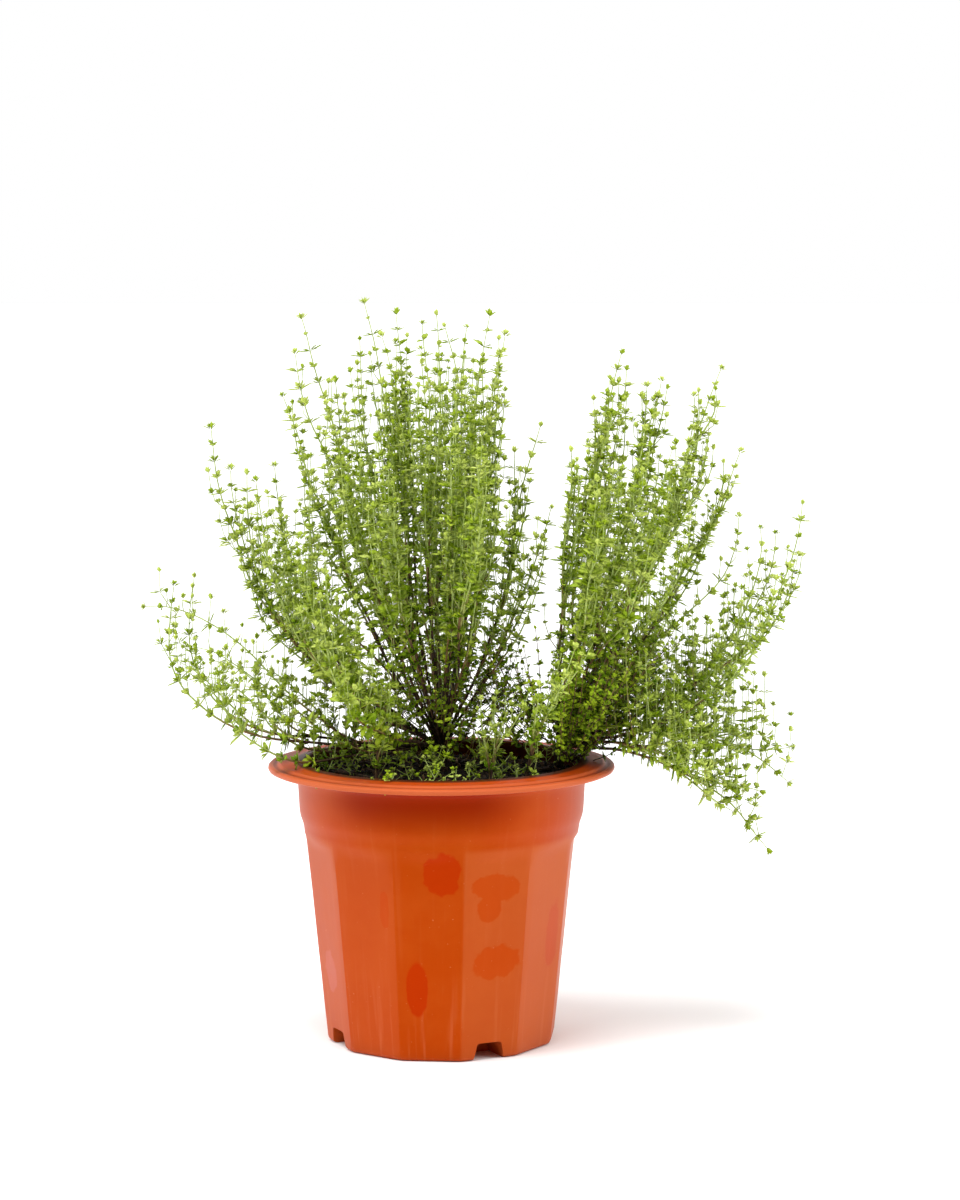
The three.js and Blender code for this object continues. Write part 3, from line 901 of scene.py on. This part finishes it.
def leaf_joint(name, seed, main_size, spread, tuft, tuft_size):
    """What grows at one joint of a stem: a pair of leaves and a tuft of smaller ones in their axils."""
    chance = random.Random(seed)
    points, faces = [], []
    for k in range(2 + tuft):
        main = k < 2
        turn = (k % 2) * math.pi + chance.uniform(-0.15, 0.15) * (1 if main else 6)
        out = Vector((math.cos(turn), math.sin(turn), 0))
        rise = spread + (chance.uniform(-0.18, 0.18) if main else chance.uniform(-0.15, 0.85))
        heading = out * math.cos(rise) + UP * math.sin(rise)
        face_up = UP * math.cos(rise) - out * math.sin(rise)
        size = (main_size if main else tuft_size) * chance.uniform(0.85, 1.12)
        foot = out * 0.22 + UP * (0 if main else chance.uniform(-0.3, 0.9))
        width, outline = (size * 0.48, MAIN_LEAF) if main else (size * 0.60, TUFT_LEAF)
        add_leaf(points, faces, foot, heading, face_up, size, width, outline)
    return small_solid(name, points, faces, smooth=True)


# Leaf length, how far the pair rises in radians, leaves in the tuft, and their length.
joints = collect(
    "leaf_joints",
    [
        leaf_joint("joint_a", 21, 5.6, 0.32, 7, 3.8),
        leaf_joint("joint_b", 22, 5.2, 0.46, 8, 3.9),
        leaf_joint("joint_c", 23, 5.9, 0.20, 6, 3.6),
        leaf_joint("joint_tip", 24, 4.0, 0.70, 7, 3.2),
    ],
)


def over(rule, name, limit):
    """Whether a value that a point or face carries is over a limit."""
    pair = {0: carried_value(rule, name), 1: limit}
    return step(rule, "FunctionNodeCompare", pair, operation="GREATER_THAN")


def leafy_rule():
    """Stems along the source's lines, with a leaf joint at every internode and a bud at each end."""
    rule, given = new_rule(
        "leafy_stems",
        {
            "Lines": "Geometry", "Joints": "Collection", "Stem skin": "Material", "Leaf flesh": "Material",
            "Stem sides": "Int", "Internode": "Float", "Leaf size": "Float", "Seed": "Int",
        },
    )
    lines = step(rule, "GeometryNodeMeshToCurve", {"Mesh": given["Lines"]})
    ring = step(rule, "GeometryNodeCurvePrimitiveCircle", {"Resolution": given["Stem sides"], "Radius": 1.0})
    swept = {"Curve": lines, "Profile Curve": ring, "Scale": carried_value(rule, "girth"), "Fill Caps": True}
    stems = step(rule, "GeometryNodeCurveToMesh", swept)
    apart = {"Curve": lines, "Length": given["Internode"]}
    spaced = step(rule, "GeometryNodeResampleCurve", apart, mode="LENGTH")
    along = add_node(rule, "GeometryNodeSplineParameter").outputs
    counted = stored(rule, spaced, "step", along["Index"])
    measured = stored(rule, counted, "share", along["Factor"])
    points = add_node(rule, "GeometryNodeCurveToPoints", {"Curve": measured}, mode="EVALUATED").outputs
    leafage = carried_value(rule, "leafage")
    bare = step(rule, "FunctionNodeCompare", {0: leafage, 1: 0.06}, operation="LESS_THAN")
    kept = step(rule, "GeometryNodeDeleteGeometry", {"Geometry": points["Points"], "Selection": bare})
    shade = random_value(rule, 0.0, 1.0, given["Seed"])
    quarter_turns = {0: carried_value(rule, "step"), 1: math.pi / 2, 2: random_value(rule, -0.45, 0.45, 5)}
    angle = step(rule, "ShaderNodeMath", quarter_turns, operation="MULTIPLY_ADD")
    spin = step(rule, "FunctionNodeAxisAngleToRotation", {"Axis": UP, "Angle": angle})
    turned = {"Rotation": points["Rotation"], "Rotate By": spin}
    any_joint = add_node(rule, "FunctionNodeRandomValue", {4: 0, 5: 2, "Seed": 6}, data_type="INT").outputs[2]
    which = {"Switch": over(rule, "share", 0.985), "False": any_joint, "True": 3}
    vary = random_value(rule, 0.78, 1.18, 7)
    size = step(rule, "ShaderNodeMath", {0: leafage, 1: vary}, operation="MULTIPLY")
    copies = {
        "Points": stored(rule, kept, "shade", shade),
        "Instance": step(rule, "GeometryNodeCollectionInfo", {0: given["Joints"], 1: True, 2: True}),
        "Pick Instance": True,
        "Instance Index": step(rule, "GeometryNodeSwitch", which, input_type="INT"),
        "Rotation": step(rule, "FunctionNodeRotateRotation", turned, rotation_space="LOCAL"),
        "Scale": step(rule, "ShaderNodeMath", {0: size, 1: given["Leaf size"]}, operation="MULTIPLY"),
    }
    leaves = stored(rule, step(rule, "GeometryNodeInstanceOnPoints", copies), "leafy", 1.0, domain="INSTANCE")
    joined = add_node(rule, "GeometryNodeJoinGeometry")
    rule.links.new(leaves, joined.inputs[0])
    rule.links.new(stems, joined.inputs[0])
    real = step(rule, "GeometryNodeRealizeInstances", {0: joined.outputs[0]})
    skinned = step(rule, "GeometryNodeSetMaterial", {"Geometry": real, "Material": given["Stem skin"]})
    leafy = {"Geometry": skinned, "Selection": over(rule, "leafy", 0.5), "Material": given["Leaf flesh"]}
    add_node(rule, "NodeGroupOutput", {"Geometry": step(rule, "GeometryNodeSetMaterial", leafy)})
    return rule


leafy_stems = leafy_rule()


class Growth:
    """The lines that a plant piece grows along, with girth, youth and leafage at each point."""

    def __init__(self):
        self.points, self.edges, self.girth, self.youth, self.leafage = [], [], [], [], []

    def add(self, points, girths, youths, leafages):
        first = len(self.points)
        self.points += points
        self.edges += [(first + k, first + k + 1) for k in range(len(points) - 1)]
        self.girth += girths
        self.youth += youths
        self.leafage += leafages

    def finish(self, name, seed, leaf_size, internode=0.0082):
        """The stems and leaves that grow along the lines, as one plain mesh."""
        data = bpy.data.meshes.new(name + "_lines")
        data.from_pydata(self.points, self.edges, [])
        for key in ("girth", "youth", "leafage"):
            data.attributes.new(key, "FLOAT", "POINT").data.foreach_set("value", getattr(self, key))
        source = link_object(name + "_lines", data)
        made = run_rule(
            source, leafy_stems, name, Joints=joints, Stem_skin=stem.material, Leaf_flesh=leaf.material,
            Stem_sides=4, Internode=internode, Leaf_size=leaf_size, Seed=seed,
        )
        remove(source)
        return made


def wander(points, amount, seed):
    """The points moved a little sideways, as a real stem wanders, with both ends kept."""
    count = len(points) - 1
    moved = []
    for k, point in enumerate(points):
        free = math.sin(math.pi * k / count) ** 0.5 if 0 < k < count else 0
        spot = point * 26 + Vector((seed * 3.7, 0, 0))
        moved.append(point + noise.noise_vector(spot) * amount * free)
    return moved


noise.seed_set(7)
GOLDEN_ANGLE = 2.39996

# How each kind of sprig grows: how steeply its tip rises; how far its first and last headings carry,
# as shares of its reach; its bare share; how many partner stems run beside it; the spacing and the
# greatest length of its side shoots in metres; and how strongly they turn up to the light.
TRAITS = ("rise", "start", "end", "bare", "partners", "every", "longest", "lean")
HABITS = {
    "upright": (0.75, 0.40, 0.35, 0.06, 5, 0.0105, 0.036, 0.82),
    "spreading": (0.90, 0.42, 0.42, 0.06, 4, 0.0085, 0.050, 0.88),
    "sweeping": (1.25, 0.60, 0.50, 0.10, 3, 0.0080, 0.042, 1.0),
    "arching": (1.00, 0.50, 0.55, 0.10, 2, 0.0120, 0.036, 1.0),
    "trailing": (-0.55, 0.42, 0.30, 0.08, 5, 0.0060, 0.085, 1.0),
    "basal": (0.80, 0.35, 0.35, 0.03, 3, 0.0055, 0.024, 0.8),
}
HABITS = {kind: dict(zip(TRAITS, values)) for kind, values in HABITS.items()}
LONE_SPRIGS = ("basal_sprig_03", "left_spreading_sprig_06", "left_arching_sprig_01", "left_arching_sprig_02")


def sprig_route(base, tip, start, habit):
    """The same curve that the frame's sprig follows, from base to tip."""
    line = tip - base
    out = Vector((line.x, line.y, 0)).normalized()
    end = (UP * habit["rise"] + out * (1 - abs(habit["rise"]))).normalized()
    reach = line.length
    count = max(12, int(reach / 0.006))
    return bezier(base, base + start * reach * habit["start"], tip - end * reach * habit["end"], tip, count)


def point_at(route, share):
    """The point and the heading at a share of a route's steps."""
    count = len(route) - 1
    at = min(count - 1, int(share * count))
    return route[at].lerp(route[at + 1], share * count - at), (route[at + 1] - route[at]).normalized()


def around(along, angle):
    """A sideways direction square to a heading, at an angle round it."""
    side = along.cross(UP)
    side = side.normalized() if side.length > 0.05 else Vector((1, 0, 0))
    return side * math.cos(angle) + along.cross(side) * math.sin(angle)


BETWEEN = (trunks["left"].x + trunks["right"].x) / 2 + 26 * MM
BETWEEN_HALF = 24 * MM
BETWEEN_LOW = 205 * MM


def turned_away(origin, side):
    """A sideways direction, mirrored where it would lean into the clear space between the plants."""
    room = origin.x - BETWEEN
    if origin.z > BETWEEN_LOW and abs(room) < BETWEEN_HALF and room * side.x < 0:
        return Vector((-side.x, side.y, side.z))
    return side


def add_stem(growth, route, thick, age, vigour, bare):
    """A long stem: woody, then green, with leaves from the bare share upwards."""
    shares = [k / (len(route) - 1) for k in range(len(route))]
    leafed = [smooth_step(bare - 0.04, bare + 0.10, s) for s in shares]
    growth.add(
        route,
        [thick * (1.0 - s) ** 0.8 + 0.0002 for s in shares],
        [age + (1 - age) * smooth_step(0.0, 0.95, s) for s in shares],
        [vigour * grown * (0.82 + 0.55 * s - 0.55 * s * s) for grown, s in zip(leafed, shares)],
    )


def add_shoots(growth, route, habit, chance, number, first, scale, vigour):
    """Side shoots up a stem by the golden angle, each leaving sideways and turning up to the light."""
    length = sum((b - a).length for a, b in zip(route, route[1:]))
    low_stem = habit["lean"] > 0.9
    last_share = 0.97 if low_stem else 0.82
    count = int(length * (last_share - first) / habit["every"])
    for k in range(count):
        share = first + (last_share - first) * (k + chance.uniform(0.2, 0.8)) / count
        origin, along = point_at(route, share)
        side = turned_away(origin, around(along, number + k * GOLDEN_ANGLE))
        sunward = (along * (1 - habit["lean"]) + UP * habit["lean"]).normalized()
        reach = habit["longest"] * scale * chance.uniform(0.25, 1.0) * (1.15 - 0.65 * share)
        if low_stem:
            side.z = -side.z if side.z < -0.2 else side.z
        else:
            reach = min(reach, max(0.008, (1 - share) * length * 0.8))
        youth = min(1.0, 0.38 + 0.5 * share + chance.uniform(-0.12, 0.15))
        add_shoot(growth, origin, side, sunward, reach, youth, vigour, chance, number * 7 + k)


def add_shoot(growth, origin, side, sunward, reach, youth, vigour, chance, seed):
    """One leafy shoot that leaves sideways and turns towards a heading."""
    first_way = (side + sunward * 0.7).normalized()
    spread = chance.uniform(0.22, 0.38)
    last = origin + first_way * reach * spread + sunward * reach * (1 - spread) + side * reach * 0.05
    steps = max(2, int(reach / 0.0075))
    shoot = bezier(origin, origin + first_way * reach * 0.35, last - sunward * reach * 0.35, last, steps)
    shares = [n / steps for n in range(steps + 1)]
    growth.add(
        wander(shoot, 0.0012, seed),
        [0.00028 * (1 - 0.4 * s) for s in shares],
        [min(1.0, youth + 0.25 * s) for s in shares],
        [0.0] + [vigour * (0.92 - 0.22 * s) for s in shares[1:]],
    )


def grow_sprig(name, number):
    """A sprig's main stem, the partner stems that run up beside it, and all their side shoots."""
    kind = name.split("_")[1] if not name.startswith("basal") else "basal"
    habit = HABITS[kind]
    base, tip = sprig_ends[name]
    start = UP if kind == "basal" else (base - forks[name.split("_")[0]]).normalized()
    chance = random.Random(100 + number)
    route = wander(sprig_route(base, tip, start, habit), 0.004, number)
    length = sum((b - a).length for a, b in zip(route, route[1:]))
    vigour = chance.uniform(0.88, 1.08)
    growth = Growth()
    add_stem(growth, route, 0.0006, 0.0, vigour, habit["bare"])
    upward = kind in ("upright", "spreading")
    add_shoots(growth, route, habit, chance, number, 0.16 if upward else 0.0, 1.0, vigour)
    partners = habit["partners"] + (2 if name.startswith("right_upright") else 0)
    for p in range(1 if name in LONE_SPRIGS else partners):
        low_share = chance.uniform(0.02, 0.12) + 0.11 * p
        origin, along = point_at(route, low_share)
        side = turned_away(origin.lerp(tip, 0.5), around(UP, number * 1.7 + p * GOLDEN_ANGLE))
        if upward:
            drift = chance.uniform(0.6, 1.06) if name.startswith("right") else chance.uniform(0.45, 1.0)
            end = origin.lerp(tip, drift) + side * length * chance.uniform(0.012, 0.046)
            end.z = origin.z + (tip.z - origin.z) * chance.uniform(0.52, 0.94)
        else:
            end, _ = point_at(route, chance.uniform(0.6, 0.95))
            end = end + side * 0.012 + UP * 0.010
        reach = (end - origin).length
        steps = max(6, int(reach / 0.007))
        first_way, last_way = along * reach * 0.3, (UP if upward else along) * reach * 0.4
        partner = bezier(origin, origin + first_way, end - last_way, end, steps)
        partner = wander(partner, 0.003, number * 11 + p)
        add_stem(growth, partner, 0.00045, 0.2 + low_share, vigour, 0.06)
        add_shoots(growth, partner, habit, chance, number + p, 0.05, 0.8, vigour)
    return growth


for number, name in enumerate(sorted(sprig_ends), 1):
    leaf_size = 1.18 if "upright" in name or "basal" in name else 1.26
    sprig = grow_sprig(name, number).finish("leafy_" + name, number, leaf_size)
    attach(sprig, "root")
    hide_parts(name)


# The young shoots of the crowns. Short leafy shoots break from the old wood just over the mix and
# crowd round each trunk. On the right plant the outer ones lean over the pot's rim.
# The youth ranges put most crown-shoot leaves, above all on the right plant, into the leaf finish's painted
# shade green.
CROWN_SHOOTS = {
    "left": dict(count=110, outward=(0.0, 0.6), longest=0.046, youth=(0.0, 0.35)),
    "right": dict(count=220, outward=(0.1, 1.1), longest=0.066, youth=(0.0, 0.16)),
}
for plant, fork in forks.items():
    plan = CROWN_SHOOTS[plant]
    chance = random.Random(plant + " shoots")
    growth = Growth()
    for k in range(plan["count"]):
        heading = k * GOLDEN_ANGLE
        side = Vector((math.cos(heading), math.sin(heading), 0))
        if plant == "right" and side.x < 0 and k % 3:
            side.x = -side.x
        origin = fork + side * chance.uniform(0.001, 0.024) + UP * chance.uniform(-0.009, 0.022)
        sunward = (UP + side * chance.uniform(*plan["outward"])).normalized()
        reach = plan["longest"] * chance.uniform(0.35, 1.0)
        add_shoot(growth, origin, side, sunward, reach, chance.uniform(*plan["youth"]), 1.0, chance, 500 + k)
    shoots = growth.finish(plant + "_crown_shoots", 60 + len(plant), leaf_size=0.86, internode=0.0060)
    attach(shoots, "root")


# The seedlings. Short bright shoots of self-sown thyme, a centimetre or two high, come up all over
# the mix from roots of their own.
def seedling(name, seed, height):
    """A short young shoot with its leaves close together."""
    chance = random.Random(seed)
    lean = Vector((chance.uniform(-0.6, 0.6), chance.uniform(-0.6, 0.6), 0)) * height
    low, high = UP * height * 0.3 + lean * 0.3, UP * height * 0.6 + lean * 0.7
    route = bezier(Vector(), low, high, UP * height + lean, 6)
    growth = Growth()
    growth.add(
        route,
        [0.00034 - 0.00003 * k for k in range(7)],
        [0.8 + 0.03 * k for k in range(7)],
        [0.65 + 0.05 * k for k in range(7)],
    )
    for n in range(3):
        side = Vector((math.cos(n * 2.1 + seed), math.sin(n * 2.1 + seed), 0))
        sunward = (UP + side).normalized()
        add_shoot(growth, route[1 + n], side, sunward, height * 0.55, 0.75, 0.8, chance, seed + n)
    return growth.finish(name, seed, leaf_size=0.85, internode=0.0040)


seedling_kinds = (("seedling_a", 41, 0.012), ("seedling_b", 42, 0.018), ("seedling_c", 43, 0.008))
seedlings = collect("seedlings", [seedling(*kind) for kind in seedling_kinds])


def tuft_rule():
    """Seedlings strewn upright over the mix, which keep the stem finish that they were grown with."""
    rule = strewn_bits.copy()
    rule.name = "strewn_seedlings"
    for node in [n for n in rule.nodes if n.bl_idname == "GeometryNodeSetMaterial"]:
        rule.links.new(over(rule, "leafy", 0.5), node.inputs["Selection"])
    return rule


basal = run_rule(
    crust, tuft_rule(), "basal_seedlings", Bits=seedlings, Finish=leaf.material, Bits_per_square_metre=2900.0,
    Smallest=0.6, Largest=1.15, Tumble=0.45, Lift=-0.0005, Seed=5,
)
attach(basal, "root")


# The patterns that pieces were copied from are cleared away.
for box in (crumbs, straws, joints, seedlings):
    remove(*list(box.objects))
    bpy.data.collections.remove(box)
